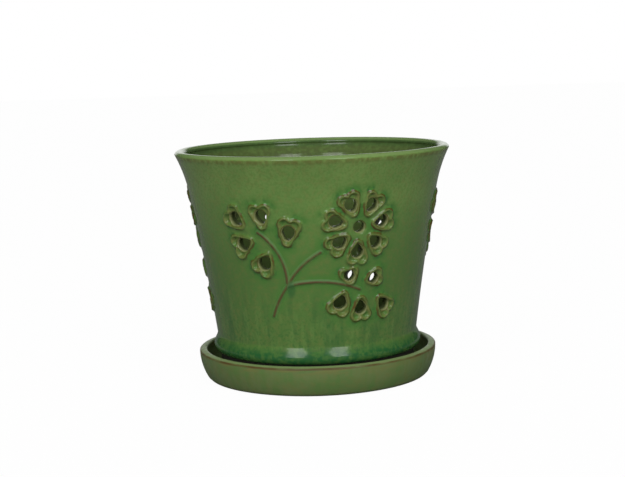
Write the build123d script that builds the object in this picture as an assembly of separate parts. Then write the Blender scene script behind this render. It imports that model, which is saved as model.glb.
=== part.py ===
from build123d import *
import os
from math import asin, atan, atan2, copysign, cos, radians, sin, sqrt, tan

# Glazed stoneware orchid pot, pierced with flowering sprays, standing in its own saucer.
# Millimetres, +Z up, origin under the middle of the saucer, first spray facing -Y.

# Pot body, heights above the pot's own foot
pot_height = 155.0
rim_radius = 95.0
rim_drop = 2.4
rim_inner_drop = 2.8
wall = 6.6
waist_radius = 69.6
waist_height = 26.4
belly_radius = 77.0
belly_height = 76.5
flare_radius = 86.0
flare_height = 126.5
heel_radius = 72.4
heel_height = 19.2
heel_underside = 14.8
foot_radius = 67.6
foot_ring_width = 9.0
foot_recess = 4.0
pot_floor = 7.0
pot_inner_corner = 9.0
drain_hole_radius = 9.0

# Saucer, which takes its place from the pot's heel and foot
saucer_heel_gap = 5.2
saucer_foot_gap = 2.4
saucer_lip_width = 5.2
saucer_lip_fall = 0.3
saucer_height = 21.1
saucer_shoulder_height = 20.0
saucer_side_inset = 4.8
saucer_side_foot_height = 2.0
saucer_floor = 4.6
saucer_inner_bulge = 1.6
saucer_foot_width = 9.0
saucer_foot_recess = 0.8

# Pierced relief, laid out as across (measured round the wall at the layout radius)
# and height above the pot's foot
spray_count = 3
layout_radius = 80.0
relief_rise = 2.4
relief_root = 2.6
stem_rise = 1.2
stem_root = 5.2
stem_width = 2.4
slot_depth = 13.0

# Leaf and petal outline: radii as shares of the leaf's width, places along it as shares of its length
lobe_radius_share = 0.285
slot_radius_share = 0.24
slot_tip_share = 0.26
slot_middle_share = 0.59

# Flower of evenly spaced petals round one small hole
flower_across = 29.2
flower_height = 106.8
flower_petals = 7
flower_turn = 113.0
flower_hole_radius = 3.8
petal_start = 4.5
petal_length = 20.6
petal_width = 15.4

# Leaves: across and height of the inner tip, the way the leaf points, its length and width
left_spray = [
    (-43.9, 105.5, 139.0, 21.0, 17.5),
    (-32.9, 103.9, 95.0, 20.2, 16.0),
    (-19.6, 91.3, 78.0, 24.0, 16.0),
    (-38.3, 101.1, 203.0, 21.0, 17.0),
    (-28.6, 94.0, 238.0, 20.6, 17.0),
]
right_spray = [
    (25.0, 67.0, 103.0, 13.8, 13.5),
    (32.6, 69.6, 14.0, 16.0, 13.5),
    (22.0, 67.6, 246.0, 21.0, 16.0),
    (32.3, 64.2, 271.0, 21.0, 15.2),
    (44.0, 61.5, 312.0, 20.0, 15.5),
]

# Stems: start, middle and end, each as across and height
stems = [
    ((-37.5, 105.0), (-25.5, 92.5), (-20.0, 71.0)),
    ((-18.5, 70.0), (-10.0, 81.5), (3.5, 91.5)),
    ((-18.0, 68.5), (6.0, 71.5), (29.0, 64.5)),
    ((-19.0, 70.5), (-26.0, 60.0), (-31.0, 48.5)),
]


def at(radius, height):
    """A point of a turned section."""
    return (radius, 0, height)


def turned(edges):
    """A solid turned about the vertical axis from a closed outline."""
    return revolve(make_face(edges), axis=Axis.Z)


def saucer_solid():
    """Shallow dish with a curved side, a rounded lip and a low foot ring."""
    lip_inner_radius = heel_radius + saucer_heel_gap
    radius = lip_inner_radius + saucer_lip_width
    floor_radius = foot_radius + saucer_foot_gap
    shoulder = at(radius, saucer_shoulder_height)
    side_foot_radius = radius - saucer_side_inset
    side_foot = at(side_foot_radius, saucer_side_foot_height)
    side = TangentArc(shoulder, side_foot, tangent=(0, 0, -1))
    # The heel runs smoothly out of the side and smoothly onto the ground
    heel_turn = radians((side % 1).get_angle(Vector(-1, 0, 0)))
    base_radius = side_foot_radius - saucer_side_foot_height / tan(heel_turn / 2)
    heel = TangentArc(side_foot, at(base_radius, 0), tangent=side % 1)
    lip_edge = at(lip_inner_radius, saucer_height)
    lip_middle = at(lip_inner_radius + saucer_lip_width / 2, saucer_height - saucer_lip_fall)
    lip = ThreePointArc(lip_edge, lip_middle, shoulder)
    floor_edge = at(floor_radius, saucer_floor)
    inner_middle = at(
        (lip_inner_radius + floor_radius) / 2 + saucer_inner_bulge,
        (saucer_height + saucer_floor) / 2 - saucer_inner_bulge,
    )
    inner_side = ThreePointArc(floor_edge, inner_middle, lip_edge)
    ring_inner = base_radius - saucer_foot_width
    under = Polyline(
        heel @ 1,
        at(ring_inner, 0),
        at(ring_inner, saucer_foot_recess),
        at(0, saucer_foot_recess),
        at(0, saucer_floor),
        floor_edge,
    )
    return turned([side, heel, under, inner_side, lip])


def wall_curves(shift, lift):
    """The outer wall from the waist to the rim, moved outwards by shift and up by lift."""
    lower = ThreePointArc(
        at(waist_radius + shift, waist_height + lift),
        at(belly_radius + shift, belly_height + lift),
        at(flare_radius + shift, flare_height + lift),
    )
    rim = at(rim_radius + shift, pot_height - rim_drop + lift)
    upper = TangentArc(lower @ 1, rim, tangent=lower % 1)
    return lower, upper


def pot_body():
    """Flared wall with a rolled heel, a rounded lip, a foot ring and a drained floor."""
    base = saucer_floor
    inner_floor = base + foot_recess + pot_floor
    ring_inner = foot_radius - foot_ring_width
    lower, upper = wall_curves(0, base)
    heel = ThreePointArc(
        at(foot_radius, base + heel_underside),
        at(heel_radius, base + heel_height),
        lower @ 0,
    )
    lip_inner = at(rim_radius - wall, base + pot_height - rim_inner_drop)
    lip = ThreePointArc(upper @ 1, at(rim_radius - wall / 2, base + pot_height), lip_inner)
    inner_waist = at(waist_radius - wall, inner_floor + pot_inner_corner)
    inner_flare = at(flare_radius - wall, base + flare_height)
    inner_lower = ThreePointArc(
        inner_flare, at(belly_radius - wall, base + belly_height), inner_waist
    )
    inner_upper = TangentArc(inner_flare, lip_inner, tangent=-(inner_lower % 0))
    floor_edge = at(waist_radius - wall - pot_inner_corner, inner_floor)
    inner_corner = TangentArc(inner_waist, floor_edge, tangent=inner_lower % 1)
    under = Polyline(
        floor_edge,
        at(drain_hole_radius, inner_floor),
        at(drain_hole_radius, base + foot_recess),
        at(ring_inner, base + foot_recess),
        at(ring_inner, base),
        at(foot_radius, base),
        at(foot_radius, base + heel_underside),
    )
    return turned([heel, lower, upper, lip, inner_upper, inner_lower, inner_corner, under])


def wall_core(shift):
    """Everything inside the outer wall, with the wall moved outwards by shift."""
    lower, upper = wall_curves(shift, saucer_floor)
    axis_side = Polyline(upper @ 1, at(0, (upper @ 1).Z), at(0, (lower @ 0).Z), lower @ 0)
    return turned([lower, upper, axis_side])


def wall_plane(across, height):
    """Plane lying on the outer wall, x round the pot and y up the wall."""
    lower = wall_curves(0, saucer_floor)[0]
    centre = lower.arc_center
    above_centre = height + saucer_floor - centre.Z
    reach = sqrt(lower.radius**2 - above_centre**2)
    flare_side = copysign(1, centre.X - belly_radius)
    wall_radius = centre.X - flare_side * reach
    lean = flare_side * atan(above_centre / reach)
    turn = across / layout_radius
    outwards = Vector(sin(turn), -cos(turn), 0)
    origin = outwards * wall_radius + Vector(0, 0, height + saucer_floor)
    facing = outwards * cos(lean) - Vector(0, 0, sin(lean))
    return Plane(origin, x_dir=Vector(cos(turn), sin(turn), 0), z_dir=facing)


def tangent_side(across, along, radius):
    """Where a line from the origin first touches the right side of a circle."""
    distance = sqrt(across**2 + along**2)
    turn = atan2(along, across) - asin(radius / distance)
    return Vector(cos(turn), sin(turn)) * sqrt(distance**2 - radius**2)


def leaf_outline(length, width):
    """Heart with its point at the origin and its two lobes at the far end."""
    lobe = width * lobe_radius_share
    lobe_across = width / 2 - lobe
    lobe_along = length - lobe
    side = tangent_side(lobe_across, lobe_along, lobe)
    notch = Vector(0, lobe_along + sqrt(lobe**2 - lobe_across**2))
    first_turn = atan2(side.Y - lobe_along, side.X - lobe_across)
    last_turn = atan2(notch.Y - lobe_along, notch.X - lobe_across)
    middle_turn = (first_turn + last_turn) / 2
    lobe_middle = Vector(lobe_across, lobe_along) + Vector(cos(middle_turn), sin(middle_turn)) * lobe
    right_half = Line((0, 0), side) + ThreePointArc(side, lobe_middle, notch)
    return make_face(right_half + mirror(right_half, about=Plane.YZ))


def slot_outline(length, width):
    """Teardrop with its point at the origin."""
    end = width * slot_radius_share
    along = length * (slot_middle_share - slot_tip_share)
    side = tangent_side(0, along, end)
    other_side = Vector(-side.X, side.Y)
    round_end = ThreePointArc(side, (0, along + end), other_side)
    return make_face([Line((0, 0), side), round_end, Line(other_side, (0, 0))])


def leaf_places():
    """Every leaf and petal of one spray: across, height, direction, length and width."""
    places = left_spray + right_spray
    for number in range(flower_petals):
        direction = flower_turn - number * 360 / flower_petals
        across = flower_across + petal_start * cos(radians(direction))
        height = flower_height + petal_start * sin(radians(direction))
        places.append((across, height, direction, petal_length, petal_width))
    return places


def on_wall(across, height, direction, length):
    """Place of a leaf: a plane at its middle, turned so that +Y runs along the leaf."""
    half = length / 2
    middle = wall_plane(
        across + half * cos(radians(direction)), height + half * sin(radians(direction))
    )
    return middle.location * Rot(0, 0, direction - 90) * Pos(0, -half, 0)


def spray_solids():
    """Raised leaves and the slots through them, for one spray."""
    raised = []
    slots = []
    for across, height, direction, length, width in leaf_places():
        place = on_wall(across, height, direction, length)
        leaf = extrude(leaf_outline(length, width), relief_root + relief_rise)
        slot = extrude(slot_outline(length, width), slot_depth, both=True)
        raised.append(place * Pos(0, 0, -relief_root) * leaf)
        slots.append(place * Pos(0, length * slot_tip_share) * slot)
    flower_middle = wall_plane(flower_across, flower_height).location
    slots.append(flower_middle * extrude(Circle(flower_hole_radius), slot_depth, both=True))
    return raised, slots


def stem_solids():
    """Thin raised stems of one spray."""
    solids = []
    for start, middle, end in stems:
        plane = wall_plane(*middle)
        path = ThreePointArc(
            (start[0] - middle[0], start[1] - middle[1]),
            (0, 0),
            (end[0] - middle[0], end[1] - middle[1]),
        )
        ribbon = extrude(trace(path, stem_width), stem_root + relief_rise)
        solids.append(plane.location * Pos(0, 0, -stem_root) * ribbon)
    return solids


def round_the_pot(solids):
    """The same solids on every spray round the pot."""
    turns = [Rot(0, 0, number * 360 / spray_count) for number in range(spray_count)]
    return [turn * solid for turn in turns for solid in solids]


def pot_solid():
    """The pot with its raised and pierced sprays."""
    raised, slots = spray_solids()
    stem_lines = (Part() + stem_solids()) & wall_core(stem_rise)
    body = pot_body() + round_the_pot([*raised, stem_lines])
    return body - round_the_pot(slots)


os.makedirs("parts", exist_ok=True)
export_step(saucer_solid(), "parts/saucer.step")
export_step(pot_solid(), "parts/pot.step")
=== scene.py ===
from dataclasses import dataclass
from math import asin, atan2, cos, hypot, pi, radians, sin, sqrt

import bmesh
import bpy
import numpy as np
from bpy.props import FloatProperty, FloatVectorProperty, PointerProperty
from mathutils import Matrix, Vector, noise


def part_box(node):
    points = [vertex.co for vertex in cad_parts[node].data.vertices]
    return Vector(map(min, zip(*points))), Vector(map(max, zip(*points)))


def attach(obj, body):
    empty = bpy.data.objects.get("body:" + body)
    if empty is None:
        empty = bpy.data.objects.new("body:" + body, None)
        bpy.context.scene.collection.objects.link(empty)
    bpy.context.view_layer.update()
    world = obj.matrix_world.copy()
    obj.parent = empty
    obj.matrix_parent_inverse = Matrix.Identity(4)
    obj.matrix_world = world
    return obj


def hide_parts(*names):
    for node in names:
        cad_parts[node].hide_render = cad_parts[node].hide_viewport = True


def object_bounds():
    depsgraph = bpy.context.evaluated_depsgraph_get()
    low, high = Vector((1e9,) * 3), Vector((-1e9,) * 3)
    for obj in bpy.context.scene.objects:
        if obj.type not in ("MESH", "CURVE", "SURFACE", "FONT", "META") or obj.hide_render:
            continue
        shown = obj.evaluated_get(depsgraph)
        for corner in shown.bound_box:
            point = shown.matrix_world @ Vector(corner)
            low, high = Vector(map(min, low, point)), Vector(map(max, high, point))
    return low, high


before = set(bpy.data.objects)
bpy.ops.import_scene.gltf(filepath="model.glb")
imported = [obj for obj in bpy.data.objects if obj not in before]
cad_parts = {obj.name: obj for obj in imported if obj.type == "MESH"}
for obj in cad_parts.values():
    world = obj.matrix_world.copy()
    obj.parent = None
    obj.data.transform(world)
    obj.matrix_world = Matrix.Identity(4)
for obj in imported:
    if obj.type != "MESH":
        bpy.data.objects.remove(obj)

bl_info = {
    "name": "Pierced orchid pot",
    "version": (1, 0, 0),
    "blender": (4, 5, 0),
    "location": "View3D > Sidebar > Orchid Pot",
    "description": "Glazed stoneware orchid pot, pierced with flowering sprays, on its own saucer",
    "category": "Add Mesh",
}

MM = 0.001
CAD_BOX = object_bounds()
POT_LOW, POT_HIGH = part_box("pot")
SAUCER_LOW, SAUCER_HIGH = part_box("saucer")
# A faceted circle reaches a little less far one way than another
RIM_RADIUS = min(POT_HIGH.x, POT_HIGH.y, -POT_LOW.x, -POT_LOW.y)
SAUCER_RADIUS = min(SAUCER_HIGH.x, SAUCER_HIGH.y, -SAUCER_LOW.x, -SAUCER_LOW.y)

# The sprays, laid out as across (round the wall at the layout radius) and height above the
# pot's foot, in millimetres. A leaf: its inner tip, the way that it points in degrees, where 0 is
# right and 90 is up, its length and its width.
LAYOUT_RADIUS = 80.0
SPRAY_COUNT = 3
LEAVES = (
    (-43.9, 105.5, 139.0, 21.0, 17.5),
    (-32.9, 103.9, 95.0, 20.2, 16.0),
    (-19.6, 91.3, 78.0, 24.0, 16.0),
    (-38.3, 101.1, 203.0, 21.0, 17.0),
    (-28.6, 94.0, 238.0, 20.6, 17.0),
    (25.0, 67.0, 103.0, 13.8, 13.5),
    (32.6, 69.6, 14.0, 16.0, 13.5),
    (22.0, 67.6, 246.0, 21.0, 16.0),
    (32.3, 64.2, 271.0, 21.0, 15.2),
    (44.0, 61.5, 312.0, 20.0, 15.5),
)

# The flower: its middle, the way that its first petal points, the petals' number, distance from the
# middle, length and width, and the radius of the hole in the middle
FLOWER_MIDDLE = (29.2, 106.8)
FLOWER_TURN = 113.0
PETAL_COUNT = 7
PETAL_START = 4.5
PETAL_LENGTH = 20.6
PETAL_WIDTH = 15.4
FLOWER_HOLE = 3.8

# Stems: start, middle and end
STEMS = (
    ((-37.5, 105.0), (-25.5, 92.5), (-20.0, 71.0)),
    ((-18.5, 70.0), (-10.0, 81.5), (3.5, 91.5)),
    ((-18.0, 68.5), (6.0, 71.5), (29.0, 64.5)),
    ((-19.0, 70.5), (-26.0, 60.0), (-31.0, 48.5)),
)
# A spot of thick glaze that ran together over and under the fork of the stems, and its half sizes
POOLED_SPOT = (-17.2, 66.5)
POOLED_SPOT_SIZE = (3.2, 7.0)

# Radii as shares of a leaf's width, and places along it as shares of its length
LOBE_SHARE = 0.285
SLOT_END_SHARE = 0.26
SLOT_TIP_SHARE = 0.26
SLOT_MIDDLE_SHARE = 0.59
# Glaze rounds the sharp tips of leaves and slots to these radii
LEAF_TIP_ROUND = 2.8 * MM
SLOT_TIP_ROUND = 2.2 * MM
# The straight sides of a leaf bow out by this share of its width
LEAF_BOW = 0.13

# What a vertex notes away from the sprays: depth in a leaf, distance from slots and stems in
# metres, and the shares of the pooled spot and of the painted shade inside the pot
PLAIN_WALL = {"leaf": -0.1, "slot": 0.1, "stem": 0.1, "spot": 0.0, "inside_shade": 0.0}
# The inner end of a slot notes how deep it lies
SLOT_DEPTH = 6.0 * MM
# Shares by which ridges and stems vary in height where their outlines waver
RIDGE_VARIES = 0.35
STEM_VARIES = 0.3
# Past this share of the wall's thickness a vertex belongs to the inside
INSIDE_SHARE = 0.6
# Place of a point on the saucer's heel, as shares of the heel's width and height
HEEL_BEND = (0.55, 0.25)

# Mesh fineness: steps round one spray's share of the circle, rows up the wall, cuts of a cell
# near the sprays outside and near the slots inside, and turns of a slot's rounded edge
SECTOR_STEPS = 60
ROW_SPACING = 2.74 * MM
FINE_CUTS = 3
INNER_CUTS = 2
EDGE_TURNS = [radians(turn) for turn in (40, 65, 90)]
# Points along the heel's underside and upper side, the lip, the undercut's upper and lower part and
# the inner corner of the pot, and along the saucer's inside, lip and side
HEEL_POINTS = (8, 12)
LIP_POINTS = 10
UNDERCUT_POINTS = (4, 6)
CORNER_POINTS = 8
SAUCER_POINTS = (16, 12, 14)
# Largest width of a cell over its height, and the share of it that a vertex may move to a slot
CELL_STRETCH = 1.1
SNAP_SHARE = 0.52
# A point this near to a face of the wall lies on it, and this step gives a slot's slope
NEAR_WALL = 0.3 * MM
SLOPE_STEP = 0.05 * MM

# Roughness of glaze that broke on a stem, and of bare clay
BROKEN_ROUGHNESS = 0.65
CLAY_ROUGHNESS = 0.75

# Half width of the floor and nearest and farthest view in metres, and sensor in millimetres
FLOOR_REACH = 6.0
CAMERA_RANGE = (0.05, 20.0)
SENSOR_WIDTH = 36.0


def linear(hex_colour):
    """An sRGB hex colour as linear red, green, blue and alpha."""
    channels = [int(hex_colour[place : place + 2], 16) / 255 for place in (1, 3, 5)]
    return (*[c / 12.92 if c <= 0.04045 else ((c + 0.055) / 1.055) ** 2.4 for c in channels], 1.0)


WHITE = linear("#FFFFFF")


def amount(name, default, description, **kind):
    """A number that a user can change."""
    return FloatProperty(name=name, description=description, default=default, **kind)


def size(name, default, description):
    """A length that a user can change, given in millimetres."""
    return amount(name, default * MM, description, min=0.0, subtype="DISTANCE", unit="LENGTH")


def colour(name, default, description):
    """A colour that a user can change, given as sRGB hex."""
    values = linear(default)
    return FloatVectorProperty(
        name=name, description=description, default=values, size=4, min=0.0, max=1.0, subtype="COLOR"
    )


class PotSizes(bpy.types.PropertyGroup):
    """The pot's section, with heights above its own foot."""

    wall: size("Wall", 6.6, "Thickness of the wall")
    rim_drop: size("Rim drop", 2.4, "How far the outer edge of the lip lies under its top")
    rim_inner_drop: size("Inner rim drop", 2.8, "How far the inner edge of the lip lies under its top")
    flare_radius: size("Flare radius", 86.0, "Radius where the wall starts to flare to the rim")
    flare_height: size("Flare height", 126.5, "Height where the wall starts to flare to the rim")
    belly_radius: size("Belly radius", 77.0, "Radius half way up the wall")
    belly_height: size("Belly height", 76.5, "Height of the belly radius")
    waist_radius: size("Waist radius", 69.6, "Smallest radius, just above the rolled heel")
    waist_height: size("Waist height", 26.4, "Height of the waist")
    heel_radius: size("Heel radius", 72.4, "Largest radius of the rolled heel")
    heel_height: size("Heel height", 19.2, "Height of the heel's largest radius")
    heel_top: size("Heel top", 28.0, "Height where the heel has faded into the wall")
    heel_underside: size("Heel underside", 14.8, "Height where the heel meets the foot")
    foot_radius: size("Foot radius", 67.6, "Outer radius of the unglazed foot")
    foot_width: size("Foot ring width", 9.0, "Width of the ring that the pot stands on")
    foot_recess: size("Foot recess", 4.0, "Depth of the hollow inside the foot ring")
    floor: size("Floor", 7.0, "Thickness of the pot's floor")
    inner_corner: size("Inner corner", 9.0, "Radius between the inside wall and the floor")
    undercut: size("Undercut", 1.3, "How far the inside wall draws back under the lip")
    undercut_height: size("Undercut height", 9.0, "Height over which the undercut fades out")
    drain_radius: size("Drain hole radius", 9.0, "Radius of the hole in the floor")
    edge_round: size("Edge rounding", 0.9, "Rounding of the foot's and the drain hole's edges")


class ReliefSizes(bpy.types.PropertyGroup):
    """The raised and pierced sprays."""

    ridge_height: size("Ridge height", 1.8, "How far a leaf's ridge stands out of the wall")
    ridge_inset: size("Ridge inset", 0.9, "Distance of the ridge's crest inside the leaf's outline")
    ridge_width: size("Ridge width", 1.15, "Half width of the ridge")
    leaf_height: size("Leaf height", 0.5, "How far a leaf's face stands out of the wall inside its ridge")
    hollow_depth: size("Hollow depth", 1.3, "How deep a leaf's lobes are scooped out of its face")
    hollow_width: size("Hollow width", 2.4, "Distance from ridge or slot where a hollow is full depth")
    stem_height: size("Stem height", 0.85, "How far a stem stands out of the wall")
    stem_reach: size("Stem reach", 1.8, "Half width of a stem at the wall")
    slot_round: size("Slot rounding", 1.6, "Rounding of a slot's edges, filled by glaze")
    waver: size("Waver", 0.6, "How far the hand-cut outlines waver")
    waver_length: size("Waver length", 6.0, "Distance over which they waver")


class SaucerSizes(bpy.types.PropertyGroup):
    """The saucer's section."""

    lip_width: size("Lip width", 5.2, "Width of the lip")
    lip_fall: size("Lip fall", 0.3, "How far the lip slopes down to its middle")
    shoulder_height: size("Shoulder height", 20.0, "Height of the lip's outer edge")
    side_inset: size("Side inset", 4.8, "How far the side draws in at its foot")
    side_foot_height: size("Side foot height", 2.0, "Height of the side's foot")
    base_inset: size("Base inset", 8.25, "How far the base lies inside the side")
    floor: size("Floor", 4.6, "Height of the saucer's floor, on which the pot stands")
    floor_radius: size("Floor radius", 70.0, "Radius of the flat floor")
    inner_bulge: size("Inner bulge", 1.6, "How far the inner side curves out from a straight line")
    foot_width: size("Foot ring width", 9.0, "Width of the ring that the saucer stands on")
    foot_recess: size("Foot recess", 0.8, "Depth of the hollow inside the foot ring")
    lip_round: size("Inner lip rounding", 1.6, "Rounding of the lip's inner edge")
    edge_round: size("Edge rounding", 0.6, "Rounding of the lip's outer edge")


class GlazeColours(bpy.types.PropertyGroup):
    """Colours of the glazes and of the clay."""

    body: colour("Glaze", "#6D8A48", "Even coat of the upper wall")
    # Glaze and lower glaze blend up the wall: partly thicker glaze lower down, partly painted light that
    # leaves the upper wall lighter
    low_body: colour("Lower glaze", "#4E6D34", "Thicker coat of the lower wall")
    pool: colour("Pooled glaze", "#426F2F", "Glaze gathered in hollows and beside leaves and stems")
    deep_pool: colour("Deep pooled glaze", "#24542A", "Glaze gathered at the heel and in blotches")
    thin: colour("Thin glaze", "#6A6C39", "Glaze drawn thin on the leaves")
    broken: colour("Broken glaze", "#50411C", "Clay that shows through on edges and stems")
    lip: colour("Lip glaze", "#6C8450", "Thin glaze on the lip")
    saucer: colour("Saucer glaze", "#5F7040", "Drier, more olive coat of the saucer")
    saucer_lip: colour("Saucer lip", "#6E8350", "Glaze on the saucer's lip")
    # Painted shade: darkens the whole inside of the pot and the depths of the slots
    inside_shade: colour("Inside wash", "#424D2A", "Thin brown-green wash inside the pot")
    throat: colour("Slot wall", "#7C7F56", "Pale clay under thin glaze inside the slots")
    clay: colour("Clay", "#4A453F", "Unglazed stoneware of the feet")


class StageSettings(bpy.types.PropertyGroup):
    """Camera and light."""

    camera_across: amount("Camera across", -1.3 * MM, "Camera position to the right", unit="LENGTH")
    camera_distance: size("Camera distance", 1039.5, "Distance in front of the pot's axis")
    camera_height: size("Camera height", 231.4, "Height over the floor")
    camera_pitch: amount("Camera pitch", radians(7.48), "How far it looks down", unit="ROTATION")
    camera_roll: amount("Camera roll", radians(1.774), "How far it leans to the right", unit="ROTATION")
    lens: amount("Lens", 86.4, "Focal length in millimetres", unit="CAMERA")
    lamp_power: amount("Lamp power", 7.0, "Power of one soft box", unit="POWER")
    lamp_turn: amount("Lamp turn", radians(25), "How far to the side a soft box stands", unit="ROTATION")
    lamp_distance: size("Lamp distance", 1700, "Distance of a soft box from the pot's axis")
    lamp_height: size("Lamp height", 1000, "Height of a soft box's middle")
    lamp_width: size("Lamp width", 600, "Width of a soft box")
    lamp_length: size("Lamp length", 1200, "Length of a soft box")
    front_fill: amount("Front fill", 2.0, "Strength of the soft light from the front")
    side_fill: amount("Side fill", 0.25, "Strength of the soft light from all round")
    rear_fill: amount("Rear fill", 1.2, "Strength added to it from behind")
    fill_rise: amount("Fill rise", radians(30), "How far above level the front light is", unit="ROTATION")
    room: amount("Room", 0.03, "Brightness of the room that the glaze reflects, in front of the backdrop")
    floor_card: colour("Floor card", "#767676", "Grey of the floor, which shows in its shading only")
    floor_glow: amount("Floor glow", 1.105, "Brightness that makes the floor white")
    shadow_share: amount("Floor shadow", 0.12, "Share of real shading on the floor", subtype="FACTOR")


# Section curves, as points of radius and height


def circle_through(start, middle, end):
    """Centre and radius of the circle through three points."""
    start, middle, end = (np.array(point, float) for point in (start, middle, end))
    one, two = middle - start, end - start
    cross = 2 * (one[0] * two[1] - one[1] * two[0])
    across = two[1] * (one @ one) - one[1] * (two @ two)
    along = one[0] * (two @ two) - two[0] * (one @ one)
    centre = start + np.array([across, along]) / cross
    return centre, float(np.linalg.norm(centre - start))


def arc_points(start, middle, end, count):
    """Evenly spaced points of the arc through three points, without its start."""
    centre, radius = circle_through(start, middle, end)
    turns = np.unwrap([atan2(*(np.array(point) - centre)[::-1]) for point in (start, middle, end)])
    steps = np.linspace(turns[0], turns[2], count + 1)[1:]
    return [tuple(centre + radius * np.array([cos(turn), sin(turn)])) for turn in steps]


def rounded_points(corners, reach, count=4):
    """A line through corners, with every corner but the first and last rounded."""
    points = [corners[0]]
    for before, corner, after in zip(corners, corners[1:], corners[2:]):
        before, corner, after = (np.array(point, float) for point in (before, corner, after))
        first = corner + (before - corner) * reach / np.linalg.norm(before - corner)
        last = corner + (after - corner) * reach / np.linalg.norm(after - corner)
        for share in np.linspace(0, 1, count + 1):
            bend = first * (1 - share) ** 2 + corner * 2 * share * (1 - share) + last * share**2
            points.append(tuple(bend))
    return points + [corners[-1]]


def rounded_join(first, second, reach):
    """Two runs of points that meet at the end of the first, with that corner rounded."""
    corner = np.array(first[-1])
    first = [point for point in first if np.linalg.norm(point - corner) > reach]
    second = [point for point in second if np.linalg.norm(point - corner) > reach]
    return first + rounded_points([first[-1], corner, second[0]], reach)[1:-1] + second


class FlaredWall:
    """Radius and lean of a wall: one arc through three points, and one tangent to it up to the rim."""

    def __init__(self, waist, belly, flare, rim):
        self.flare_height = flare[1]
        self.low_centre, self.low_radius = circle_through(waist, belly, flare)
        towards = (self.low_centre - np.array(flare)) / self.low_radius
        step = np.array(rim) - np.array(flare)
        self.high_radius = (step @ step) / (2 * towards @ step)
        self.high_centre = np.array(flare) + towards * self.high_radius

    def reach(self, height):
        """Height over the arc's centre, and how far the wall lies inside it."""
        low = np.asarray(height) < self.flare_height
        above = height - np.where(low, self.low_centre[1], self.high_centre[1])
        radius = np.where(low, self.low_radius, self.high_radius)
        return low, above, np.sqrt(np.maximum(radius**2 - above**2, MM**2))

    def radius(self, height):
        """Radius of the wall at a height."""
        low, _, inside = self.reach(height)
        return np.where(low, self.low_centre[0], self.high_centre[0]) - inside

    def lean(self, height):
        """How far the wall leans outwards at a height, in radians."""
        _, above, inside = self.reach(height)
        return np.arctan(above / inside)

    def rows(self, start, end):
        """Points a row apart from one height to another, without the first."""
        count = round(abs(end - start) / ROW_SPACING)
        return [(float(self.radius(height)), height) for height in np.linspace(start, end, count + 1)[1:]]


def smooth_step(low, high, value):
    """0 below low, 1 above high, and an even blend between."""
    share = np.clip((value - low) / (high - low), 0, 1)
    return share * share * (3 - 2 * share)


# The sprays' outlines on the wall


@dataclass
class WallPlace:
    """A flat place on the wall, with its own directions across, along and outwards."""

    origin: np.ndarray
    across: np.ndarray
    along: np.ndarray
    outward: np.ndarray

    def flat(self, points):
        """Across and along of points, seen square to the wall."""
        offset = points - self.origin
        return offset @ self.across, offset @ self.along


def wall_place(wall, foot, across, height, direction=90.0):
    """Place on the wall at across and height in millimetres, with along pointing in a direction."""
    level = foot + height * MM
    turn = across / LAYOUT_RADIUS
    lean = float(wall.lean(level))
    outward = np.array([sin(turn), -cos(turn), 0])
    right = np.array([cos(turn), sin(turn), 0])
    up = outward * sin(lean) + np.array([0, 0, cos(lean)])
    heading = radians(direction)
    return WallPlace(
        origin=outward * float(wall.radius(level)) + np.array([0, 0, level]),
        across=right * sin(heading) - up * cos(heading),
        along=right * cos(heading) + up * sin(heading),
        outward=outward * cos(lean) - np.array([0, 0, sin(lean)]),
    )


def heart_distance(x, y, middle, lobe, tip_round):
    """Signed distance, negative inside, to the right half of a heart that stands on the origin: a lobe
    of a radius round its middle, and the straight side down to the tip, which is rounded."""
    middle_x, middle_y = middle
    turn = atan2(middle_y, middle_x) - asin(lobe / hypot(middle_x, middle_y))
    run = sqrt(middle_x**2 + middle_y**2 - lobe**2)
    along = x * cos(turn) + y * sin(turn)
    outside = x * sin(turn) - y * cos(turn)
    from_lobe = np.hypot(x - middle_x, y - middle_y)
    notch = middle_y + sqrt(lobe**2 - middle_x**2)
    lobe_turn = np.arctan2(y - middle_y, x - middle_x)
    on_lobe = (lobe_turn > turn - pi / 2) & (lobe_turn < atan2(notch - middle_y, -middle_x))
    to_side = np.hypot(outside, along - np.clip(along, 0, run))
    to_lobe = np.where(on_lobe, np.abs(from_lobe - lobe), np.hypot(x, y - notch))
    inside = (from_lobe < lobe) | ((outside < 0) & (along < run) & (y < middle_y))
    sharp = np.where(inside, -1, 1) * np.minimum(to_side, to_lobe)
    tip = tip_round / cos(turn)
    below_tip = x * cos(turn) + (y - tip) * sin(turn) < 0
    return np.where(below_tip, np.hypot(x, y - tip) - tip_round, sharp)


@dataclass
class Leaf:
    """Heart-shaped leaf or petal with a teardrop slot."""

    place: WallPlace
    length: float
    width: float

    def outline(self, points):
        """Signed distance to the heart, negative inside it."""
        x, y = self.place.flat(points)
        x, y = np.abs(x), y + self.length / 2
        x = x / (1 + LEAF_BOW * np.sin(pi * np.clip(y / (self.length - self.width / 2), 0, 1)))
        lobe = self.width * LOBE_SHARE
        return heart_distance(x, y, (self.width / 2 - lobe, self.length - lobe), lobe, LEAF_TIP_ROUND)

    def slot(self, points):
        """Signed distance to the teardrop slot, which is a heart of one lobe, negative inside it."""
        x, y = self.place.flat(points)
        x, y = np.abs(x), y + self.length * (0.5 - SLOT_TIP_SHARE)
        middle = self.length * (SLOT_MIDDLE_SHARE - SLOT_TIP_SHARE)
        return heart_distance(x, y, (0.0, middle), self.width * SLOT_END_SHARE, SLOT_TIP_ROUND)


@dataclass
class FlowerHole:
    """Round hole in the middle of a flower."""

    place: WallPlace

    def slot(self, points):
        """Signed distance to the hole, negative inside it."""
        return np.hypot(*self.place.flat(points)) - FLOWER_HOLE * MM


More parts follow.
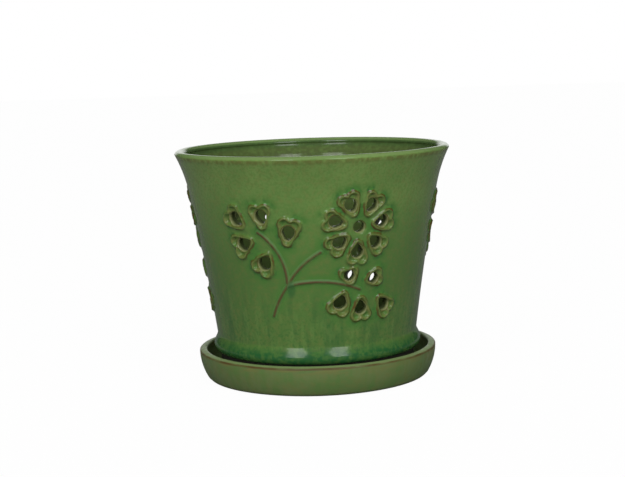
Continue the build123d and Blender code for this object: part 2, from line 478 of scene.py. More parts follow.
@dataclass
class Stem:
    """Raised line along an arc on the wall."""

    place: WallPlace
    start: np.ndarray
    end: np.ndarray

    def distance(self, points):
        """Distance from the stem's middle line."""
        x, y = self.place.flat(points)
        centre, radius = circle_through(self.start, (0, 0), self.end)
        middle_turn = atan2(-centre[1], -centre[0])

        def turn_from_middle(px, py):
            return (np.arctan2(py - centre[1], px - centre[0]) - middle_turn + pi) % (2 * pi) - pi

        limits = sorted(turn_from_middle(*point) for point in (self.start, self.end))
        turns = turn_from_middle(x, y)
        beside = (turns > limits[0]) & (turns < limits[1])
        to_arc = np.abs(np.hypot(x - centre[0], y - centre[1]) - radius)
        to_ends = np.minimum(
            np.hypot(x - self.start[0], y - self.start[1]), np.hypot(x - self.end[0], y - self.end[1])
        )
        return np.where(beside, to_arc, to_ends)


class Spray:
    """One flower, its leaves and its stems, on the wall that faces the viewer."""

    def __init__(self, wall, foot):
        self.leaves = []
        for leaf in LEAVES:
            self.add_leaf(wall, foot, *leaf)
        for number in range(PETAL_COUNT):
            direction = FLOWER_TURN - number * 360 / PETAL_COUNT
            across = FLOWER_MIDDLE[0] + PETAL_START * cos(radians(direction))
            height = FLOWER_MIDDLE[1] + PETAL_START * sin(radians(direction))
            self.add_leaf(wall, foot, across, height, direction, PETAL_LENGTH, PETAL_WIDTH)
        self.holes = [*self.leaves, FlowerHole(wall_place(wall, foot, *FLOWER_MIDDLE))]
        self.stems = []
        for start, middle, end in STEMS:
            ends = [(np.array(point) - np.array(middle)) * MM for point in (start, end)]
            self.stems.append(Stem(wall_place(wall, foot, *middle), *ends))
        self.spot = wall_place(wall, foot, *POOLED_SPOT)

    def add_leaf(self, wall, foot, across, height, direction, length, width):
        """Adds a leaf whose inner tip is at across and height."""
        middle_across = across + length / 2 * cos(radians(direction))
        middle_height = height + length / 2 * sin(radians(direction))
        place = wall_place(wall, foot, middle_across, middle_height, direction)
        self.leaves.append(Leaf(place, length * MM, width * MM))

    def outline(self, points):
        """Signed distance to the nearest leaf."""
        return np.min([leaf.outline(points) for leaf in self.leaves], axis=0)

    def stem(self, points):
        """Distance to the nearest stem's middle line."""
        return np.min([stem.distance(points) for stem in self.stems], axis=0)

    def slot(self, points):
        """Signed distance to the nearest slot or hole, and which one it is."""
        distances = np.array([hole.slot(points) for hole in self.holes])
        nearest = np.argmin(distances, axis=0)
        return distances[nearest, np.arange(len(points))], nearest

    def slot_slope(self, points, nearest):
        """Direction on the wall that leads straight away from the nearest slot."""
        slopes = np.zeros_like(points)
        for number, hole in enumerate(self.holes):
            mine = nearest == number
            if not mine.any():
                continue
            for side in (hole.place.across, hole.place.along):
                step = side * SLOPE_STEP
                rise = hole.slot(points[mine] + step) - hole.slot(points[mine] - step)
                slopes[mine] += np.outer(rise / (2 * SLOPE_STEP), side)
        return slopes


# The pot's mesh


def pot_walls(sizes):
    """The outer and the inner face of the pot's wall."""
    foot, rim = POT_LOW.z, POT_HIGH.z
    corner_top = foot + sizes.foot_recess + sizes.floor + sizes.inner_corner
    radii = (sizes.waist_radius, sizes.belly_radius, sizes.flare_radius, RIM_RADIUS)
    walls = []
    for inset, low, drop in (
        (0.0, foot + sizes.waist_height, sizes.rim_drop),
        (sizes.wall, corner_top, sizes.rim_inner_drop),
    ):
        heights = (low, foot + sizes.belly_height, foot + sizes.flare_height, rim - drop)
        walls.append(FlaredWall(*[(radius - inset, height) for radius, height in zip(radii, heights)]))
    return walls


def pot_section(sizes, outer, inner):
    """Closed outline of the pot's section, from the heel's underside up, over the lip and back."""
    foot, rim, radius = POT_LOW.z, POT_HIGH.z, RIM_RADIUS
    inner_floor = foot + sizes.foot_recess + sizes.floor
    underside = (sizes.foot_radius, foot + sizes.heel_underside)
    heel, heel_top = foot + sizes.heel_height, foot + sizes.heel_top
    under_heel, below = sizes.heel_radius - sizes.foot_radius, heel - underside[1]
    points = []
    for turn in np.linspace(0, pi / 2, HEEL_POINTS[0])[1:]:
        points.append((sizes.foot_radius + under_heel * sin(turn), heel - below * cos(turn)))
    bulge = sizes.heel_radius - float(outer.radius(heel))
    for height in np.linspace(heel, heel_top, HEEL_POINTS[1])[1:]:
        points.append((float(outer.radius(height)) + bulge * smooth_step(heel_top, heel, height), height))
    rim_edge = (radius, rim - sizes.rim_drop)
    points += outer.rows(heel_top, rim_edge[1])
    lip_edge = (radius - sizes.wall, rim - sizes.rim_inner_drop)
    points += arc_points(rim_edge, (radius - sizes.wall / 2, rim), lip_edge, LIP_POINTS)
    corner_top = inner_floor + sizes.inner_corner
    undercut_foot = lip_edge[1] - sizes.undercut_height
    steepest = lip_edge[1] - sizes.undercut
    upper = np.linspace(lip_edge[1], steepest, UNDERCUT_POINTS[0])[1:]
    lower = np.linspace(steepest, undercut_foot, UNDERCUT_POINTS[1])[1:]
    for height in (*upper, *lower):
        depth = smooth_step(lip_edge[1], steepest, height) * smooth_step(undercut_foot, steepest, height)
        points.append((float(inner.radius(height)) + sizes.undercut * depth, height))
    points += inner.rows(undercut_foot, corner_top)
    corner_radius = float(inner.radius(corner_top))
    ring_inner = sizes.foot_radius - sizes.foot_width
    recess = foot + sizes.foot_recess
    floor_middle = (sizes.foot_radius / 2, inner_floor)
    floor_line = [(corner_radius, corner_top), (corner_radius, inner_floor), floor_middle]
    points += rounded_points(floor_line, sizes.inner_corner, CORNER_POINTS)[1:]
    under_line = [
        floor_middle,
        (sizes.drain_radius, inner_floor),
        (sizes.drain_radius, recess),
        (ring_inner, recess),
        (ring_inner, foot),
        (sizes.foot_radius, foot),
        underside,
    ]
    return points + rounded_points(under_line, sizes.edge_round)[1:]


def spun_sector(section):
    """The section turned through one spray's share of the circle, facing the viewer."""
    bm = bmesh.new()
    half = pi / SPRAY_COUNT
    verts = [bm.verts.new((radius * -sin(half), -radius * cos(half), height)) for radius, height in section]
    edges = [bm.edges.new(pair) for pair in zip(verts, verts[1:] + verts[:1])]
    bmesh.ops.spin(bm, geom=verts + edges, axis=(0, 0, 1), angle=2 * half, steps=SECTOR_STEPS)
    return bm


def points_of(elements):
    """Places of vertices, or of the middles of faces, as an array."""
    if elements and isinstance(elements[0], bmesh.types.BMFace):
        return np.array([face.calc_center_median() for face in elements])
    return np.array([vert.co for vert in elements])


def wall_sides(points, outer, inner):
    """Which points lie on the outer and which on the inner face of the wall."""
    radius, height = np.hypot(points[:, 0], points[:, 1]), points[:, 2]
    return [np.abs(radius - wall.radius(height)) < NEAR_WALL for wall in (outer, inner)]


def on_wall(points, wall):
    """Points moved level onto a wall."""
    radius = wall.radius(points[:, 2])
    share = radius / np.hypot(points[:, 0], points[:, 1])
    return np.column_stack([points[:, 0] * share, points[:, 1] * share, points[:, 2]])


def out_of_wall(points, wall):
    """Directions square to a wall, away from the axis."""
    lean = wall.lean(points[:, 2])
    level = points[:, :2] / np.hypot(points[:, 0], points[:, 1])[:, None]
    return np.column_stack([level * np.cos(lean)[:, None], -np.sin(lean)])


def move(verts, points):
    """Moves vertices to points."""
    for vert, point in zip(verts, points):
        vert.co = point


def refine(bm, faces, cuts):
    """Cuts the faces into a finer grid."""
    edges = list({edge for face in faces for edge in face.edges})
    bmesh.ops.subdivide_edges(bm, edges=edges, cuts=cuts, use_grid_fill=True)


class SlottedSheet:
    """One face of the wall, cut open at every slot, with rounded slot edges."""

    def __init__(self, bm, spray, wall, verts, rounding, cell, outside):
        self.bm, self.spray, self.wall = bm, spray, wall
        self.rounding, self.cell = rounding, cell
        self.into_wall = -1 if outside else 1
        self.throat_depth = rounding if outside else SLOT_DEPTH
        self.verts = verts

    def edge_offset(self, turn):
        """Distance from the slot's narrowest outline at a turn of the rounded edge."""
        return self.rounding * (1 - sin(turn))

    def edge_depth(self, offset):
        """Depth of the rounded edge at a distance from the narrowest outline."""
        left = np.clip(self.rounding - offset, 0, self.rounding)
        return self.rounding - np.sqrt(self.rounding**2 - left**2)

    def faces_between(self, side):
        """Faces whose every vertex has a side noted."""
        faces = {face for vert in self.verts for face in vert.link_faces}
        return [face for face in faces if all(vert in side for vert in face.verts)]

    def cut(self):
        """Moves vertices onto the slots' outlines and deletes the faces inside."""
        points = on_wall(points_of(self.verts), self.wall)
        opening = self.edge_offset(EDGE_TURNS[0])
        distance, nearest = self.spray.slot(points)
        distance = distance - opening
        slope = self.spray.slot_slope(points, nearest)
        close = np.abs(distance) < SNAP_SHARE * self.cell
        points[close] -= slope[close] * distance[close, None]
        points = on_wall(points, self.wall)
        distance[close] = 0.0
        side = dict(zip(self.verts, np.sign(distance)))
        move(self.verts, points)
        faces = self.faces_between(side)
        crossed = [face for face in faces if {-1.0, 1.0} <= {side[vert] for vert in face.verts}]
        corners = {vert for face in crossed for vert in face.verts if side[vert] == 0}
        if corners:
            bmesh.ops.connect_verts(self.bm, verts=list(corners))
        faces = self.faces_between(side)
        inside = self.spray.slot(points_of(faces))[0] < opening
        doomed = [
            face
            for face, within in zip(faces, inside)
            if any(side[vert] < 0 for vert in face.verts)
            or (within and all(side[vert] == 0 for vert in face.verts))
        ]
        bmesh.ops.delete(self.bm, geom=doomed, context="FACES")
        self.verts = [vert for vert in self.verts if vert.is_valid]

    def borders(self):
        """The open edges of each slot, by the slot's number."""
        edges = {edge for vert in self.verts for edge in vert.link_edges if edge.is_boundary}
        middles = np.array([(edge.verts[0].co + edge.verts[1].co) / 2 for edge in edges])
        distance, nearest = self.spray.slot(middles)
        found = {}
        for edge, away, number in zip(edges, distance, nearest):
            # The sector's own two sides are open too, and lie farther off
            if away < 3 * self.rounding:
                found.setdefault(int(number), []).append(edge)
        return found

    def throats(self, layer):
        """Rolls the rounded edges over into the slots, notes their depth in a layer and returns the
        inmost edges of each."""
        found = self.borders()
        for number, edges in found.items():
            hole = self.spray.holes[number]
            for before, after in zip(EDGE_TURNS, EDGE_TURNS[1:]):
                made = bmesh.ops.extrude_edge_only(self.bm, edges=edges)["geom"]
                verts = [item for item in made if isinstance(item, bmesh.types.BMVert)]
                known = set(verts)
                edges = [
                    item
                    for item in made
                    if isinstance(item, bmesh.types.BMEdge) and set(item.verts) <= known
                ]
                points = points_of(verts)
                slope = self.spray.slot_slope(points, np.full(len(points), number))
                inwards = self.edge_offset(before) - self.edge_offset(after)
                deeper = self.rounding * (cos(before) - cos(after))
                points = points - slope * inwards + hole.place.outward * deeper * self.into_wall
                move(verts, points)
                for vert in verts:
                    vert[layer] = -self.throat_depth
            found[number] = edges
        return found


def raise_relief(spray, relief, wall, sheet, layers):
    """Raises the sprays out of the wall and notes how deep in a leaf, and how far from slots and
    stems, each point lies."""
    points = points_of(sheet.verts)
    waver = np.array([noise.noise(Vector(point) / relief.waver_length) for point in points])
    depth = -spray.outline(points) + relief.waver * waver
    stem = spray.stem(points)
    slot, _ = spray.slot(points)
    inner = depth - relief.ridge_inset
    ridge = np.exp(-((inner / relief.ridge_width) ** 2))
    face = smooth_step(-relief.ridge_width, relief.ridge_width, inner)
    hollow = smooth_step(0, relief.hollow_width, np.minimum(inner, slot))
    leaf_height = (relief.ridge_height - relief.leaf_height) * (1 + RIDGE_VARIES * waver) * ridge
    leaf_height += relief.leaf_height * face - relief.hollow_depth * hollow
    stem_height = relief.stem_height * (1 + STEM_VARIES * waver)
    stem_height = stem_height * (1 - smooth_step(0, relief.stem_reach, stem))
    height = leaf_height + np.maximum(stem_height - np.maximum(leaf_height, 0), 0) - sheet.edge_depth(slot)
    moved = points + out_of_wall(points, wall) * height[:, None]
    x, y = spray.spot.flat(points)
    spot = np.exp(-((x / (POOLED_SPOT_SIZE[0] * MM)) ** 2) - (y / (POOLED_SPOT_SIZE[1] * MM)) ** 2)
    values = {"leaf": depth, "slot": slot, "stem": stem, "spot": spot}
    move(sheet.verts, moved)
    for number, vert in enumerate(sheet.verts):
        for name, value in values.items():
            vert[layers[name]] = value[number]


def round_inner_edges(sheet):
    """Sinks the inner face of the wall into the rounded edges of the slots."""
    points = points_of(sheet.verts)
    slot, _ = sheet.spray.slot(points)
    move(sheet.verts, points + out_of_wall(points, sheet.wall) * sheet.edge_depth(slot)[:, None])


def pot_mesh(sizes, relief):
    """The whole pot as one closed mesh."""
    outer, inner = pot_walls(sizes)
    spray = Spray(outer, POT_LOW.z)
    bm = spun_sector(pot_section(sizes, outer, inner))
    layers = {name: bm.verts.layers.float.new(name) for name in PLAIN_WALL}
    for vert in bm.verts:
        for name, value in PLAIN_WALL.items():
            vert[layers[name]] = value
        # A vertex inside the pot takes painted shade
        middle_of_wall = outer.radius(vert.co.z) - INSIDE_SHARE * sizes.wall
        vert[layers["inside_shade"]] = float(vert.co.xy.length < middle_of_wall)
    faces = bm.faces[:]
    middles = points_of(faces)
    outside, inside = wall_sides(middles, outer, inner)
    slots = spray.slot(middles)[0]
    reach = np.minimum.reduce([spray.outline(middles), spray.stem(middles) - relief.stem_reach, slots])
    # Half of a cell's diagonal, and a little more
    half_cell = 0.75 * ROW_SPACING
    near_relief = outside & (reach < half_cell + relief.ridge_width)
    near_slots = inside & (slots < half_cell + relief.slot_round)
    refine(bm, [face for face, chosen in zip(faces, near_relief) if chosen], FINE_CUTS)
    refine(bm, [face for face, chosen in zip(faces, near_slots) if chosen], INNER_CUTS)
    verts = bm.verts[:]
    outside, inside = wall_sides(points_of(verts), outer, inner)
    sheets = []
    for chosen, wall, cuts in ((outside, outer, FINE_CUTS), (inside, inner, INNER_CUTS)):
        mine = [vert for vert, kept in zip(verts, chosen) if kept]
        cell = CELL_STRETCH * ROW_SPACING / (cuts + 1)
        sheet = SlottedSheet(bm, spray, wall, mine, relief.slot_round, cell, wall is outer)
        sheet.cut()
        sheets.append(sheet)
    raise_relief(spray, relief, outer, sheets[0], layers)
    round_inner_edges(sheets[1])
    fronts, backs = (sheet.throats(layers["slot"]) for sheet in sheets)
    for number, edges in fronts.items():
        bmesh.ops.bridge_loops(bm, edges=edges + backs[number])
    sector = bm.verts[:] + bm.edges[:] + bm.faces[:]
    steps = SPRAY_COUNT - 1
    turn = 2 * pi * steps / SPRAY_COUNT
    bmesh.ops.spin(bm, geom=sector, axis=(0, 0, 1), angle=turn, steps=steps, use_duplicate=True)
    return finished_mesh(bm, "pot_glazed")


def finished_mesh(bm, name):
    """Welds the seams, turns the faces outwards and makes a smooth mesh."""
    bmesh.ops.remove_doubles(bm, verts=bm.verts, dist=0.01 * MM)
    bmesh.ops.recalc_face_normals(bm, faces=bm.faces)
    mesh = bpy.data.meshes.new(name)
    bm.to_mesh(mesh)
    bm.free()
    mesh.shade_smooth()
    return mesh


# The saucer's mesh


def saucer_section(sizes):
    """Closed outline of the saucer's section, from the floor's middle out over the lip and back."""
    radius, top = SAUCER_RADIUS, SAUCER_HIGH.z
    lip_inner = radius - sizes.lip_width
    shoulder = (radius, sizes.shoulder_height)
    lip_edge = (lip_inner, top)
    floor_edge = (sizes.floor_radius, sizes.floor)
    inner_middle = (
        (lip_inner + sizes.floor_radius) / 2 + sizes.inner_bulge,
        (top + sizes.floor) / 2 - sizes.inner_bulge,
    )
    points = [(0.0, sizes.floor), (sizes.floor_radius / 2, sizes.floor), floor_edge]
    points += arc_points(floor_edge, inner_middle, lip_edge, SAUCER_POINTS[0])
    lip_middle = (lip_inner + sizes.lip_width / 2, top - sizes.lip_fall)
    lip = arc_points(lip_edge, lip_middle, shoulder, SAUCER_POINTS[1])
    points = rounded_join(points, lip, sizes.lip_round)
    side_foot = (radius - sizes.side_inset, sizes.side_foot_height)
    step = np.array(side_foot) - np.array(shoulder)
    side_radius = (step @ step) / (-2 * step[0])
    half_turn = asin((shoulder[1] - side_foot[1]) / side_radius) / 2
    side_middle = (radius - side_radius * (1 - cos(half_turn)), shoulder[1] - side_radius * sin(half_turn))
    side = arc_points(shoulder, side_middle, side_foot, SAUCER_POINTS[2])
    points = rounded_join(points, side, sizes.edge_round)
    base = radius - sizes.base_inset
    ring_inner = base - sizes.foot_width
    heel = (side_foot[0] - base, side_foot[1])
    points += [(base + heel[0] * HEEL_BEND[0], heel[1] * HEEL_BEND[1])]
    recess = sizes.foot_recess
    under_line = [(base, 0.0), (ring_inner, 0.0), (ring_inner, recess), (0.0, recess)]
    return points + rounded_points(under_line, recess / 2)


def saucer_mesh(sizes):
    """The saucer as one closed mesh."""
    bm = bmesh.new()
    verts = [bm.verts.new((radius, 0, height)) for radius, height in saucer_section(sizes)]
    edges = [bm.edges.new(pair) for pair in zip(verts, verts[1:])]
    steps = SECTOR_STEPS * SPRAY_COUNT
    bmesh.ops.spin(bm, geom=verts + edges, axis=(0, 0, 1), angle=2 * pi, steps=steps, use_merge=True)
    return finished_mesh(bm, "saucer_glazed")


# Materials


def add_node(tree, kind, inputs=(), output=0, **settings):
    """Adds a shader node, sets it, sets or links its inputs, and returns one of its outputs."""
    node = tree.nodes.new("ShaderNode" + kind)
    for name, value in settings.items():
        setattr(node, name, value)
    for name, value in dict(inputs).items():
        if isinstance(value, bpy.types.NodeSocket):
            tree.links.new(value, node.inputs[name])
        else:
            node.inputs[name].default_value = value
    return node.outputs[output]


def strength(tree, shares):
    """The product of shares: values, or values with the range over which they rise from nothing to all
    or, where two more numbers follow, from the first of these to the second."""
    product = 1.0
    for share in shares:
        if isinstance(share, tuple):
            share = add_node(tree, "MapRange", enumerate(share), interpolation_type="SMOOTHSTEP")
        product = add_node(tree, "Math", {0: product, 1: share}, operation="MULTIPLY")
    return product


def coated(tree, base, coats):
    """A colour under coats of glaze, each with its colour and the shares of its strength. A mix of
    colours takes its share in input 0 and the colours in inputs 6 and 7, one of values in 2 and 3."""
    for coat, *shares in coats:
        inputs = {0: strength(tree, shares), 6: base, 7: coat}
        base = add_node(tree, "Mix", inputs, 2, data_type="RGBA")
    return base


def grains(tree, coordinates, spacings):
    """Noise by name, from the width and height of its patches in millimetres and its detail."""
    made = {}
    for name, (width, tall, detail) in spacings.items():
        scale = [1 / (side * MM) for side in (width, width, tall)]
        scaled = add_node(tree, "Mapping", {"Vector": coordinates, "Scale": scale})
        inputs = {"Vector": scaled, "Scale": 1.0, "Detail": detail}
        made[name] = add_node(tree, "TexNoise", inputs)
    return made


def turned_material(name):
    """A material for a turned piece, with its tree, its coordinates, radius and height."""
    material = bpy.data.materials.new(name)
    material.use_nodes = True
    tree = material.node_tree
    coordinates = add_node(tree, "TexCoord", output="Object")
    height = add_node(tree, "SeparateXYZ", {0: coordinates}, "Z")
    level = add_node(tree, "VectorMath", {0: coordinates, 1: (1, 1, 0)}, operation="MULTIPLY")
    radius = add_node(tree, "VectorMath", {0: level}, "Value", operation="LENGTH")
    return material, tree, coordinates, radius, height


def finish_glaze(tree, base, gloss, waves):
    """Feeds a glaze's colour, roughness and fine waves to its shader."""
    shader = tree.nodes["Principled BSDF"]
    tree.links.new(base, shader.inputs["Base Color"])
    tree.links.new(gloss, shader.inputs["Roughness"])
    shader.inputs["IOR"].default_value = 1.5
    bump = add_node(tree, "Bump", {"Height": waves, "Strength": 0.25, "Distance": 1.0 * MM})
    tree.links.new(bump, shader.inputs["Normal"])


def pot_glaze(colours, sizes, relief):
    """Copper-green gloss glaze, dipped and fired on stoneware: runs thin and brown on ridges,
    pools deep green in hollows and at the heel, and reflects the lamps sharply."""
    material, tree, coordinates, radius, height = turned_material("copper_green_gloss_glaze")
    noted = [add_node(tree, "Attribute", output="Fac", attribute_name=name) for name in PLAIN_WALL]
    leaf, slot, stem, spot, inside_shade = noted
    spacings = {
        "clouds": (34, 34, 3.0),
        "patches": (9, 9, 3.0),
        "mottle": (3.5, 3.5, 4.0),
        "speckle": (1.6, 1.6, 2.0),
        "streaks": (7, 60, 3.0),
        "runs": (3.5, 17, 2.0),
    }
    clouds, patches, mottle, speckle, streaks, runs = grains(tree, coordinates, spacings).values()
    foot, rim = POT_LOW.z, POT_HIGH.z
    recess = foot + sizes.foot_recess
    underside = foot + sizes.heel_underside
    ridge_inside = add_node(tree, "Math", {0: leaf, 1: relief.ridge_inset}, operation="SUBTRACT")
    hollow = add_node(tree, "Math", {0: ridge_inside, 1: slot}, operation="MINIMUM")
    under_foot = strength(tree, [(height, recess + 1.5 * MM, recess + 0.5 * MM)])
    foot_side = strength(
        tree,
        [
            (height, underside + 0.6 * MM, underside - 0.4 * MM),
            (radius, sizes.foot_radius - 4 * MM, sizes.foot_radius - 2 * MM),
        ],
    )
    bare = add_node(tree, "Math", {0: under_foot, 1: foot_side}, operation="MAXIMUM")
    # The brown line on a leaf's edge wanders, and comes and goes
    wander = 2.4 * MM
    line = add_node(tree, "Math", {0: mottle, 1: wander, 2: leaf}, operation="MULTIPLY_ADD")
    worn = (patches, 0.38, 0.62, 0.1, 1.0)
    coats = (
        # The coat is darker and greener lower down, partly thicker glaze and partly painted light that
        # leaves the upper wall lighter; it is cloudy and finely mottled
        (colours.low_body, (height, foot + 152 * MM, foot + 72 * MM)),
        (colours.low_body, (clouds, 0.38, 0.66, 0.0, 0.35)),
        (colours.thin, (mottle, 0.42, 0.66, 0.0, 0.3)),
        (colours.pool, (speckle, 0.42, 0.66, 0.0, 0.3)),
        (colours.deep_pool, (streaks, 0.44, 0.66, 0.0, 0.42), (height, foot + 85 * MM, foot + 35 * MM)),
        (colours.body, (runs, 0.45, 0.7, 0.0, 0.22), (height, foot + 75 * MM, foot + 35 * MM)),
        (colours.deep_pool, (speckle, 0.5, 0.68, 0.0, 0.35), (height, foot + 75 * MM, foot + 30 * MM)),
        # It gathers in blotches beside leaves and stems
        (colours.pool, (leaf, -8.0 * MM, -0.8 * MM), (patches, 0.4, 0.6, 0.15, 1.0)),
        (colours.pool, (stem, 7.0 * MM, 2.0 * MM), (patches, 0.35, 0.6, 0.2, 0.8)),
        (
            colours.deep_pool,
            (leaf, -4.5 * MM, -0.6 * MM),
            (mottle, 0.46, 0.6, 0.0, 0.55),
            (patches, 0.4, 0.6, 0.2, 1.0),
        ),
        (colours.deep_pool, (spot, 0.25, 0.8, 0.0, 0.6)),
        # It thins on a leaf, pools in its hollows and shows pale clay inside a slot
        (colours.thin, (leaf, -0.2 * MM, 0.8 * MM), (mottle, 0.35, 0.6, 0.2, 0.8)),
        (colours.pool, (hollow, 0.3 * MM, relief.hollow_width), 0.5),
        (colours.throat, (slot, 0.6 * MM, -0.8 * MM), 0.8),
        # Painted shade, darker deeper inside a slot
        (colours.inside_shade, (slot, -1.6 * MM, -4.0 * MM)),
        # It breaks brown on the edges of leaves and slots and along stems
        (colours.broken, (line, 0.5 * MM, 1.0 * MM), (line, 1.9 * MM, 1.4 * MM), worn),
        (colours.broken, (slot, 0.1 * MM, 0.5 * MM), (slot, 1.3 * MM, 0.8 * MM), worn, 0.7),
        (colours.broken, (stem, 1.0 * MM, 0.45 * MM), (runs, 0.3, 0.55, 0.6, 1.0), (spot, 0.6, 0.3)),
        # Inside it is painted shade, darker in a band under the lip; at the heel a deep pool, on the lip
        # thin with a brown line below
        (colours.inside_shade, inside_shade, (mottle, 0.3, 0.6, 0.65, 0.85)),
        # Painted shade in a band under the lip's undercut, partly glaze pooled there
        (colours.deep_pool, inside_shade, (height, rim - 8 * MM, rim - 4 * MM), 0.35),
        (
            colours.deep_pool,
            (height, foot + sizes.heel_top, foot + sizes.heel_height + 2 * MM),
            (radius, sizes.foot_radius - 2 * MM, sizes.foot_radius),
            (mottle, 0.38, 0.6, 0.45, 1.0),
        ),
        (colours.lip, (height, rim - 2.2 * MM, rim - 1.2 * MM), 0.8),
        (
            colours.broken,
            (height, rim - 6.5 * MM, rim - 3.6 * MM),
            (height, rim - 2.0 * MM, rim - 3.0 * MM),
            (radius, sizes.flare_radius + 2 * MM, sizes.flare_radius + 5 * MM),
            (runs, 0.3, 0.6, 0.15, 0.55),
        ),
        (colours.clay, bare),
    )
    gloss = strength(tree, [(mottle, 0.35, 0.7, 0.1, 0.18)])
    dry_stem = strength(tree, [(stem, relief.stem_reach + 0.5 * MM, 1.2 * MM)])
    gloss = add_node(tree, "Mix", {0: dry_stem, 2: gloss, 3: BROKEN_ROUGHNESS})
    gloss = add_node(tree, "Mix", {0: bare, 2: gloss, 3: CLAY_ROUGHNESS})
    fine = strength(tree, [mottle, 0.12])
    waves = add_node(tree, "Math", {0: clouds, 1: fine}, operation="ADD")
    finish_glaze(tree, coated(tree, colours.body, coats), gloss, waves)
    return material


def saucer_glaze(colours, sizes):
    """Thin copper-green glaze, sponged on stoneware and fired drier: olive, satin and brown on the
    lip's edge."""
    material, tree, coordinates, radius, height = turned_material("olive_satin_glaze")
    spacings = {
        "clouds": (26, 12, 3.0),
        "mottle": (4, 4, 4.0),
        "streaks": (5, 40, 3.0),
        "smears": (16, 2, 3.0),
    }
    clouds, mottle, streaks, smears = grains(tree, coordinates, spacings).values()
    edge, shoulder = SAUCER_RADIUS, sizes.shoulder_height
    coats = (
        (colours.low_body, (clouds, 0.4, 0.62, 0.0, 0.55)),
        (colours.thin, (mottle, 0.42, 0.7, 0.0, 0.4)),
        (colours.pool, (streaks, 0.45, 0.65, 0.0, 0.35)),
        (colours.thin, (height, shoulder - 6 * MM, shoulder - 1 * MM), (smears, 0.45, 0.6, 0.0, 0.8)),
        # The lip is paler, with a broken brown line on its outer edge
        (
            colours.saucer_lip,
            (height, shoulder - 0.4 * MM, shoulder),
            (radius, edge - 7.0 * MM, edge - 5.5 * MM),
        ),
        (
            colours.broken,
            (height, shoulder - 1.3 * MM, shoulder - 0.5 * MM),
            (radius, edge - 1.2 * MM, edge - 0.6 * MM),
            (smears, 0.35, 0.6, 0.5, 1.0),
        ),
        # The foot ring is bare
        (colours.clay, (height, 1.2 * MM, 0.6 * MM), (radius, edge - 4.0 * MM, edge - 6.0 * MM)),
    )
    gloss = strength(tree, [(mottle, 0.3, 0.7, 0.34, 0.5)])
    fine = strength(tree, [mottle, 0.2])
    waves = add_node(tree, "Math", {0: clouds, 1: fine}, operation="ADD")
    finish_glaze(tree, coated(tree, colours.saucer, coats), gloss, waves)
    return material


# Pieces and stage


def add_object(data):
    """Puts an object in the scene, named as its data."""
    item = bpy.data.objects.new(data.name, data)
    bpy.context.scene.collection.objects.link(item)
    return item


def place_piece(mesh, material, body, node):
    """Puts a mesh in the scene in place of a part's plain solid."""
    piece = add_object(mesh)
    mesh.materials.append(material)
    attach(piece, body)
    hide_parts(node)


def make_floor(stage):
    """Matt grey card that the camera sees as white, with a share of its real shading left in."""
    bm = bmesh.new()
    bmesh.ops.create_grid(bm, x_segments=1, y_segments=1, size=FLOOR_REACH)
    mesh = bpy.data.meshes.new("floor")
    bm.to_mesh(mesh)
    bm.free()
    add_object(mesh)
    material = bpy.data.materials.new("matt_white_floor")
    material.use_nodes = True
    tree = material.node_tree
    card = add_node(tree, "BsdfDiffuse", {"Color": stage.floor_card})
    glow = add_node(tree, "Emission", {"Color": WHITE, "Strength": stage.floor_glow})
    seen = add_node(tree, "LightPath", output="Is Camera Ray")
    share = strength(tree, [seen, 1 - stage.shadow_share])
    blend = add_node(tree, "MixShader", {0: share, 1: card, 2: glow})
    tree.links.new(blend, tree.nodes["Material Output"].inputs["Surface"])
    mesh.materials.append(material)


def make_room(stage):
    """Room that lights the pot softly from the front and from behind. The camera sees it as white, and
    the glaze reflects it as dim, with a white backdrop."""
    world = bpy.data.worlds.new("white_room")
    bpy.context.scene.world = world
    world.use_nodes = True
    tree = world.node_tree
    direction = add_node(tree, "TexCoord", output="Generated")
    fill_from = {0: direction, 1: Vector((0, -cos(stage.fill_rise), sin(stage.fill_rise)))}
    towards = add_node(tree, "VectorMath", fill_from, "Value", operation="DOT_PRODUCT")
    behind = add_node(tree, "SeparateXYZ", {0: direction}, "Y")
    # The ranges are of the cosine between a direction and the middle of the light or backdrop
    fill = strength(tree, [(towards, 0.5, 0.95, stage.side_fill, stage.front_fill)])
    rear = strength(tree, [(behind, 0.55, 0.95, 0.0, stage.rear_fill)])
    white = strength(tree, [(behind, 0.9, 0.975, stage.room, 1.0)])
    fill = add_node(tree, "Math", {0: fill, 1: rear}, operation="ADD")
    light = add_node(tree, "Background", {"Color": WHITE, "Strength": fill})
    rays = [
        add_node(tree, "LightPath", output=name)
        for name in ("Is Camera Ray", "Is Glossy Ray", "Is Transmission Ray")
    ]
    white = add_node(tree, "Math", {0: white, 1: rays[0]}, operation="MAXIMUM")
    backdrop = add_node(tree, "Background", {"Color": WHITE, "Strength": white})
    share = rays[0]
    for ray in rays[1:]:
        share = add_node(tree, "Math", {0: share, 1: ray}, operation="MAXIMUM")
    blend = add_node(tree, "MixShader", {0: share, 1: light, 2: backdrop})
    tree.links.new(blend, tree.nodes["World Output"].inputs["Surface"])


def make_soft_box(stage, name, side):
    """Rectangular studio lamp in front of the pot, to one side."""
    light = bpy.data.lights.new(name, "AREA")
    light.shape = "RECTANGLE"
    light.size, light.size_y = stage.lamp_width, stage.lamp_length
    light.energy = stage.lamp_power
    turn = stage.lamp_turn * side
    place = Vector((stage.lamp_distance * sin(turn), -stage.lamp_distance * cos(turn), stage.lamp_height))
    aim = Vector((0, 0, CAD_BOX[1].z / 2))
    lamp = add_object(light)
    lamp.location = place
    lamp.rotation_euler = (aim - place).to_track_quat("-Z", "Y").to_euler()


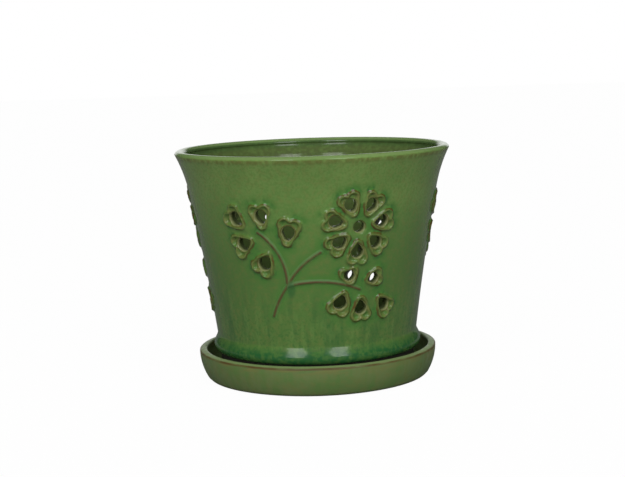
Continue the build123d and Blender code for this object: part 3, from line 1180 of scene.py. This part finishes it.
def make_camera(stage):
    """Camera that stands as the photo's did."""
    camera = bpy.data.cameras.new("camera")
    camera.sensor_fit = "HORIZONTAL"
    camera.sensor_width = SENSOR_WIDTH
    camera.lens = stage.lens
    camera.clip_start, camera.clip_end = CAMERA_RANGE
    pitch = Matrix.Rotation(pi / 2 - stage.camera_pitch, 4, "X")
    roll = Matrix.Rotation(-stage.camera_roll, 4, "Z")
    place = (stage.camera_across, -stage.camera_distance, stage.camera_height)
    view = add_object(camera)
    view.matrix_world = Matrix.Translation(place) @ (pitch @ roll)
    bpy.context.scene.camera = view


# Operators


class ORCHIDPOT_OT_pot(bpy.types.Operator):
    """Make the glazed pot with its raised and pierced sprays"""

    bl_idname = "orchidpot.pot"
    bl_label = "Make pot"

    def execute(self, context):
        settings = context.scene.orchid_pot
        mesh = pot_mesh(settings.pot, settings.relief)
        glaze = pot_glaze(settings.colours, settings.pot, settings.relief)
        place_piece(mesh, glaze, "pot", "pot")
        return {"FINISHED"}


class ORCHIDPOT_OT_saucer(bpy.types.Operator):
    """Make the loose saucer that the pot stands in"""

    bl_idname = "orchidpot.saucer"
    bl_label = "Make saucer"

    def execute(self, context):
        settings = context.scene.orchid_pot
        mesh = saucer_mesh(settings.saucer)
        glaze = saucer_glaze(settings.colours, settings.saucer)
        place_piece(mesh, glaze, "saucer", "saucer")
        return {"FINISHED"}


class ORCHIDPOT_OT_stage(bpy.types.Operator):
    """Make the pale floor, the white room, the soft boxes and the camera"""

    bl_idname = "orchidpot.stage"
    bl_label = "Make stage"

    def execute(self, context):
        stage = context.scene.orchid_pot.stage
        make_floor(stage)
        make_room(stage)
        make_soft_box(stage, "soft_box_left", -1)
        make_soft_box(stage, "soft_box_right", 1)
        make_camera(stage)
        context.scene.view_settings.view_transform = "Standard"
        return {"FINISHED"}


class OrchidPotSettings(bpy.types.PropertyGroup):
    """Every setting of the add-on."""

    pot: PointerProperty(type=PotSizes, name="Pot", description="The pot's section")
    relief: PointerProperty(type=ReliefSizes, name="Sprays", description="The raised and pierced sprays")
    saucer: PointerProperty(type=SaucerSizes, name="Saucer", description="The saucer's section")
    colours: PointerProperty(type=GlazeColours, name="Colours", description="Colours of glaze and clay")
    stage: PointerProperty(type=StageSettings, name="Stage", description="Camera and light")


class ORCHIDPOT_PT_panel(bpy.types.Panel):
    """Lists the pieces and their settings."""

    bl_idname = "ORCHIDPOT_PT_panel"
    bl_label = "Orchid Pot"
    bl_space_type = "VIEW_3D"
    bl_region_type = "UI"
    bl_category = "Orchid Pot"

    def draw(self, context):
        settings = context.scene.orchid_pot
        for operator, groups in (
            ("orchidpot.pot", (settings.pot, settings.relief, settings.colours)),
            ("orchidpot.saucer", (settings.saucer,)),
            ("orchidpot.stage", (settings.stage,)),
        ):
            box = self.layout.box()
            box.operator(operator)
            for group in groups:
                for name in group.__annotations__:
                    box.prop(group, name)


CLASSES = (
    PotSizes,
    ReliefSizes,
    SaucerSizes,
    GlazeColours,
    StageSettings,
    OrchidPotSettings,
    ORCHIDPOT_OT_pot,
    ORCHIDPOT_OT_saucer,
    ORCHIDPOT_OT_stage,
    ORCHIDPOT_PT_panel,
)


def register():
    """Adds the classes and the settings to Blender."""
    for cls in CLASSES:
        bpy.utils.register_class(cls)
    bpy.types.Scene.orchid_pot = PointerProperty(type=OrchidPotSettings)


def unregister():
    """Takes the settings and the classes out again."""
    del bpy.types.Scene.orchid_pot
    for cls in reversed(CLASSES):
        bpy.utils.unregister_class(cls)


def main():
    """Makes the pieces and the stage."""
    register()
    bpy.ops.orchidpot.saucer()
    bpy.ops.orchidpot.pot()
    bpy.ops.orchidpot.stage()


if __name__ == "__main__":
    main()
